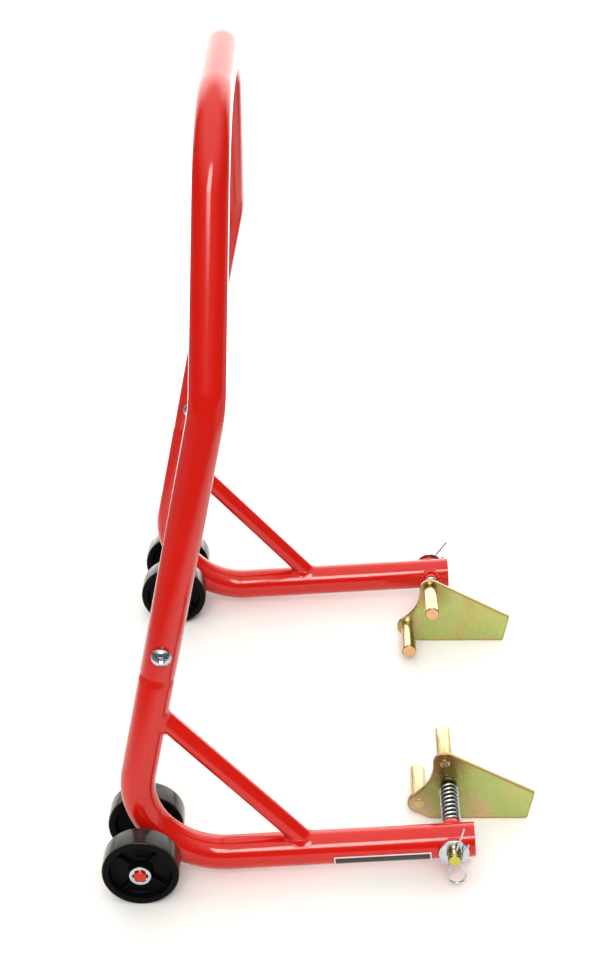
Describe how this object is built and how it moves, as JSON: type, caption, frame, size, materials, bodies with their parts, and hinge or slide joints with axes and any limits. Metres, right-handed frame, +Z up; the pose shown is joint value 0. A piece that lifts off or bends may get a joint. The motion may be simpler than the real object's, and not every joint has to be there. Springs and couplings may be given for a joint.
{
  "type": "motorcycle paddock stand",
  "caption": "Rear paddock stand: bent red tube frame on small black wheels, with sprung, swinging pin cradles on the arms that lift a motorcycle by its swingarm",
  "frame": {"origin": "on the floor, under the middle of the stand's outline", "axes": "+X from the handle towards the motorcycle, +Y to the stand's left, +Z up"},
  "size_m": [0.4286, 0.6014, 0.7558],
  "materials": {
    "red_paint": "glossy red powder coat",
    "yellow_passivate": "yellow zinc passivate",
    "zinc": "bright zinc plate",
    "black_plastic": "moulded, slightly glossy"
  },
  "bodies": {
    "frame": {"handle_hoop": "red_paint", "arm_tube_right": "red_paint", "brace_right": "red_paint", "pivot_sleeve_right": "red_paint", "axle_right": "red_paint", "joint_bolt_right": "zinc", "joint_nut_right": "zinc", "pivot_spring_right": "zinc", "axle_clip_right_outer": "zinc", "wheel_spacer_right_outer": "zinc", "axle_clip_right_inner": "zinc", "wheel_spacer_right_inner": "zinc", "arm_tube_left": "red_paint", "brace_left": "red_paint", "pivot_sleeve_left": "red_paint", "axle_left": "red_paint", "joint_bolt_left": "zinc", "joint_nut_left": "zinc", "pivot_spring_left": "zinc", "axle_clip_left_outer": "zinc", "wheel_spacer_left_outer": "zinc", "axle_clip_left_inner": "zinc", "wheel_spacer_left_inner": "zinc"},
    "wheel_right_outer": {"wheel_right_outer": "black_plastic"},
    "wheel_right_inner": {"wheel_right_inner": "black_plastic"},
    "wheel_left_outer": {"wheel_left_outer": "black_plastic"},
    "wheel_left_inner": {"wheel_left_inner": "black_plastic"},
    "slider_right": {"pivot_washer_right": "zinc"},
    "bracket_right": {"cradle_plate_right": "yellow_passivate", "cradle_pin_upper_right": "yellow_passivate", "cradle_pin_lower_right": "yellow_passivate", "pivot_pin_right": "yellow_passivate", "spring_clip_right": "zinc"},
    "slider_left": {"pivot_washer_left": "zinc"},
    "bracket_left": {"cradle_plate_left": "yellow_passivate", "cradle_pin_upper_left": "yellow_passivate", "cradle_pin_lower_left": "yellow_passivate", "pivot_pin_left": "yellow_passivate", "spring_clip_left": "zinc"}
  },
  "joints": [
    {"name": "wheel_right_outer_spin", "type": "hinge", "parent": "frame", "child": "wheel_right_outer", "pos_m": [-0.17682, -0.2835, 0.0375], "axis": [0, 1, 0], "continuous": true},
    {"name": "wheel_right_inner_spin", "type": "hinge", "parent": "frame", "child": "wheel_right_inner", "pos_m": [-0.17682, -0.2115, 0.0375], "axis": [0, 1, 0], "continuous": true},
    {"name": "wheel_left_outer_spin", "type": "hinge", "parent": "frame", "child": "wheel_left_outer", "pos_m": [-0.17682, 0.2835, 0.0375], "axis": [0, 1, 0], "continuous": true},
    {"name": "wheel_left_inner_spin", "type": "hinge", "parent": "frame", "child": "wheel_left_inner", "pos_m": [-0.17682, 0.2115, 0.0375], "axis": [0, 1, 0], "continuous": true},
    {"name": "bracket_right_slide", "type": "slide", "parent": "frame", "child": "slider_right", "axis": [0, -1, 0], "range_m": [0, 0.035], "stiffness_N_per_m": 1500, "springref_m": -0.005, "deforming": ["pivot_spring_right"]},
    {"name": "bracket_right_swing", "type": "hinge", "parent": "slider_right", "child": "bracket_right", "pos_m": [0.12622, -0.2475, 0.03869], "axis": [0, 1, 0], "continuous": true},
    {"name": "bracket_left_slide", "type": "slide", "parent": "frame", "child": "slider_left", "axis": [0, 1, 0], "range_m": [0, 0.035], "stiffness_N_per_m": 1500, "springref_m": -0.005, "deforming": ["pivot_spring_left"]},
    {"name": "bracket_left_swing", "type": "hinge", "parent": "slider_left", "child": "bracket_left", "pos_m": [0.12622, 0.2475, 0.03869], "axis": [0, 1, 0], "continuous": true}
  ]
}
